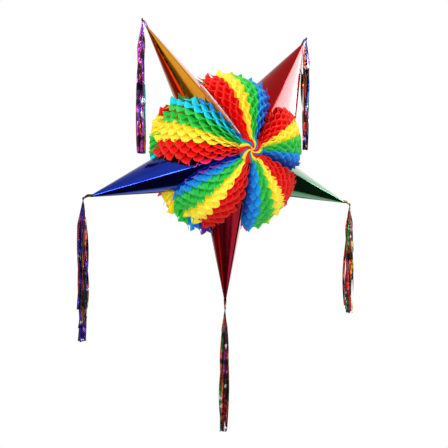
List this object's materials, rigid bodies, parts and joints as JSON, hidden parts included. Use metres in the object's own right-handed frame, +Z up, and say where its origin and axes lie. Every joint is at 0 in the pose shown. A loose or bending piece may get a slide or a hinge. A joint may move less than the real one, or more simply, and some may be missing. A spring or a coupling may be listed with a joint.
{
  "type": "star pinata",
  "caption": "Hanging star pinata with foil card points, front and back honeycomb tissue rosettes, a hollow treat core with a filling flap, and foil tassels.",
  "frame": {"origin": "middle of the hanging eyelet's upper face, on top of the core", "axes": "+Z up along the eyelet's bore, the star in the XZ plane with one point straight down, front rosette towards -Y"},
  "size_m": [0.6114, 0.2305, 0.8186],
  "materials": {
    "chipboard": "matt grey-brown chipboard",
    "kraft_tape": "gummed kraft paper",
    "brass_eyelet": "pressed brass",
    "plywood": "sanded plywood",
    "flap_card": "pink covered card",
    "hinge_tape": "woven cloth tape",
    "ribbon": "satin ribbon",
    "white_card": "matt white card",
    "tissue": "thin dyed tissue in five colours",
    "gold_foil": "mirror foil laminated to card",
    "red_foil": "mirror foil laminated to card",
    "green_foil": "mirror foil laminated to card",
    "magenta_foil": "mirror foil laminated to card",
    "blue_foil": "mirror foil laminated to card",
    "foil_strips": "metallised film strips in mixed colours",
    "thread": "waxed thread"
  },
  "bodies": {
    "star": {"core_hoop": "chipboard", "core_crown": "chipboard", "core_front_dome": "chipboard", "core_back_dome": "chipboard", "core_seam_tapes": "kraft_tape", "hanging_eyelet": "brass_eyelet", "hanging_plate": "plywood", "fill_collar": "chipboard", "flap_hinge": "hinge_tape", "front_spine": "chipboard", "front_knot": "tissue", "front_closing_card": "white_card", "back_closing_card": "white_card", "front_fan_top": "tissue", "front_fan_right": "tissue", "front_fan_lower_right": "tissue", "front_fan_lower_left": "tissue", "front_fan_left": "tissue", "back_fan_top": "tissue", "back_fan_right": "tissue", "back_fan_lower_right": "tissue", "back_fan_lower_left": "tissue", "back_fan_left": "tissue", "gold_point": "gold_foil", "red_point": "red_foil", "green_point": "green_foil", "magenta_point": "magenta_foil", "blue_point": "blue_foil", "gold_stub": "foil_strips", "red_stub": "foil_strips", "green_stub": "foil_strips", "magenta_stub": "foil_strips", "blue_stub": "foil_strips"},
    "fill_flap": {"fill_flap": "flap_card", "flap_pull": "ribbon"},
    "gold_tie": {"gold_tie": "thread"},
    "gold_tassel": {"gold_tassel": "foil_strips"},
    "red_tie": {"red_tie": "thread"},
    "red_tassel": {"red_tassel": "foil_strips"},
    "green_tie": {"green_tie": "thread"},
    "green_tassel": {"green_tassel": "foil_strips"},
    "magenta_tie": {"magenta_tie": "thread"},
    "magenta_tassel": {"magenta_tassel": "foil_strips"},
    "blue_tie": {"blue_tie": "thread"},
    "blue_tassel": {"blue_tassel": "foil_strips"}
  },
  "joints": [
    {"name": "flap_hinge", "type": "hinge", "parent": "star", "child": "fill_flap", "pos_m": [0, 0.1127, -0.0375], "axis": [1, 0, 0], "range_deg": [0, 150]},
    {"name": "gold_side_swing", "type": "hinge", "parent": "star", "child": "gold_tie", "pos_m": [-0.18339, 0, 0.16441], "axis": [0, 1, 0], "range_deg": [-1, 70]},
    {"name": "gold_fore_aft_swing", "type": "hinge", "parent": "gold_tie", "child": "gold_tassel", "pos_m": [-0.18339, 0, 0.16441], "axis": [1, 0, 0], "range_deg": [-60, 60]},
    {"name": "red_side_swing", "type": "hinge", "parent": "star", "child": "red_tie", "pos_m": [0.18339, 0, 0.16441], "axis": [0, 1, 0], "range_deg": [-70, 1]},
    {"name": "red_fore_aft_swing", "type": "hinge", "parent": "red_tie", "child": "red_tassel", "pos_m": [0.18339, 0, 0.16441], "axis": [1, 0, 0], "range_deg": [-60, 60]},
    {"name": "green_side_swing", "type": "hinge", "parent": "star", "child": "green_tie", "pos_m": [0.29673, 0, -0.18441], "axis": [0, 1, 0], "range_deg": [-70, 45]},
    {"name": "green_fore_aft_swing", "type": "hinge", "parent": "green_tie", "child": "green_tassel", "pos_m": [0.29673, 0, -0.18441], "axis": [1, 0, 0], "range_deg": [-60, 60]},
    {"name": "magenta_side_swing", "type": "hinge", "parent": "star", "child": "magenta_tie", "pos_m": [0, 0, -0.4], "axis": [0, 1, 0], "range_deg": [-60, 60]},
    {"name": "magenta_fore_aft_swing", "type": "hinge", "parent": "magenta_tie", "child": "magenta_tassel", "pos_m": [0, 0, -0.4], "axis": [1, 0, 0], "range_deg": [-60, 60]},
    {"name": "blue_side_swing", "type": "hinge", "parent": "star", "child": "blue_tie", "pos_m": [-0.29673, 0, -0.18441], "axis": [0, 1, 0], "range_deg": [-45, 70]},
    {"name": "blue_fore_aft_swing", "type": "hinge", "parent": "blue_tie", "child": "blue_tassel", "pos_m": [-0.29673, 0, -0.18441], "axis": [1, 0, 0], "range_deg": [-60, 60]}
  ]
}
